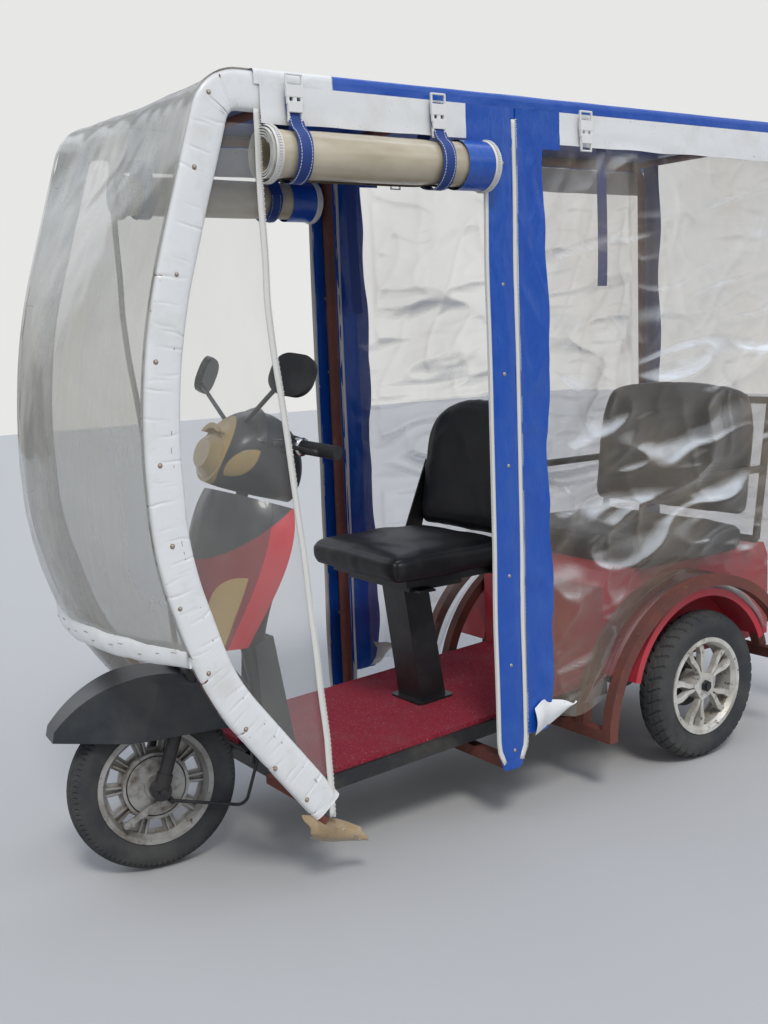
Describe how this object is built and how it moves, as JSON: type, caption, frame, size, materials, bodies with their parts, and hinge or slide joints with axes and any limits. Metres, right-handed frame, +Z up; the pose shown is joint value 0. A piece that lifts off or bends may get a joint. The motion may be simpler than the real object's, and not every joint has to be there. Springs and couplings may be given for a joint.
{
  "type": "covered electric tricycle",
  "caption": "Electric tricycle with a driver's seat, a rear bench and a vinyl weather cabin on a tube frame; front wheel steers, all wheels roll.",
  "frame": {"origin": "on the ground under the middle of the vehicle's box", "axes": "+X forward, +Y to the vehicle's left, +Z up"},
  "size_m": [2.351, 0.8724, 1.7792],
  "materials": {
    "bar_chrome": "chrome",
    "black_frame": "worn black paint",
    "black_plastic": "matte black plastic",
    "blue_vinyl": "blue vinyl",
    "carpet_red": "red coil mat",
    "cast_alloy": "dull cast alloy",
    "clear_vinyl": "clear soft vinyl",
    "dark_plastic": "weathered dark grey plastic",
    "floor_steel": "black painted steel",
    "fork_black": "satin black paint",
    "grip_rubber": "black rubber",
    "hazy_vinyl": "hazed clear vinyl",
    "lamp_lens": "clear lens",
    "red_body": "faded red paint",
    "red_plastic": "faded red gloss plastic",
    "rusty_tube": "brown primer with rust",
    "seat_vinyl": "black vinyl with wrinkles",
    "spring_steel": "dull spring steel",
    "tail_lens": "red lens",
    "tan_vinyl": "aged tan vinyl",
    "tyre_rubber": "dusty black rubber",
    "wheel_alloy": "dirty cream painted cast alloy",
    "white_vinyl": "dirty white vinyl"
  },
  "bodies": {
    "body": {"apron": "tan_vinyl", "back_curtain": "clear_vinyl", "bench_back": "seat_vinyl", "bench_cushion": "seat_vinyl", "bench_frame": "black_frame", "bow_wrap_left": "white_vinyl", "bow_wrap_right": "white_vinyl", "canopy_frame": "rusty_tube", "chassis": "black_frame", "curtain_border_left": "blue_vinyl", "curtain_border_right": "blue_vinyl", "door_roll_left": "tan_vinyl", "door_roll_right": "tan_vinyl", "door_straps": "blue_vinyl", "driver_back": "seat_vinyl", "driver_cushion": "seat_vinyl", "floor_carpet": "carpet_red", "floor_deck": "floor_steel", "inner_shield": "black_plastic", "leg_shield_front": "dark_plastic", "leg_shield_sides": "red_plastic", "post_cover_left": "blue_vinyl", "post_cover_right": "blue_vinyl", "quarter_panel_left": "clear_vinyl", "quarter_panel_right": "clear_vinyl", "rear_axle": "black_frame", "rear_body": "red_body", "rear_fender_left": "red_body", "rear_fender_right": "red_body", "rear_springs": "spring_steel", "roof_sheet": "blue_vinyl", "seat_frame": "black_frame", "seat_pedestal": "black_frame", "side_curtain_left": "clear_vinyl", "side_curtain_right": "clear_vinyl", "tail_lamps": "tail_lens", "tunnel": "black_plastic", "valances": "white_vinyl", "wheel_guard_left": "rusty_tube", "wheel_guard_right": "rusty_tube", "windshield": "hazy_vinyl", "windshield_hem": "white_vinyl"},
    "steering": {"brake_cable": "black_plastic", "brake_plate": "cast_alloy", "fork": "fork_black", "front_fender": "dark_plastic", "grips": "grip_rubber", "handlebar": "bar_chrome", "head_cowl": "dark_plastic", "headlamp": "lamp_lens", "levers": "bar_chrome", "mirrors": "black_plastic"},
    "front_wheel": {"front_tyre": "tyre_rubber", "front_rim": "wheel_alloy"},
    "rear_wheel_left": {"rear_tyre_left": "tyre_rubber", "rear_rim_left": "wheel_alloy"},
    "rear_wheel_right": {"rear_tyre_right": "tyre_rubber", "rear_rim_right": "wheel_alloy"}
  },
  "joints": [
    {"name": "steering", "type": "hinge", "parent": "body", "child": "steering", "pos_m": [0.7386, 0, 0.66138], "axis": [-0.342, 0, 0.9397], "range_deg": [-31, 49]},
    {"name": "front_wheel_spin", "type": "hinge", "parent": "steering", "child": "front_wheel", "pos_m": [0.9421, -0.00547, 0.20335], "axis": [0.147, 0.9877, 0.0535], "continuous": true},
    {"name": "rear_left_wheel_spin", "type": "hinge", "parent": "body", "child": "rear_wheel_left", "pos_m": [-0.5875, 0.343, 0.2135], "axis": [0, 1, 0], "continuous": true},
    {"name": "rear_right_wheel_spin", "type": "hinge", "parent": "body", "child": "rear_wheel_right", "pos_m": [-0.5875, -0.343, 0.2135], "axis": [0, 1, 0], "continuous": true}
  ]
}
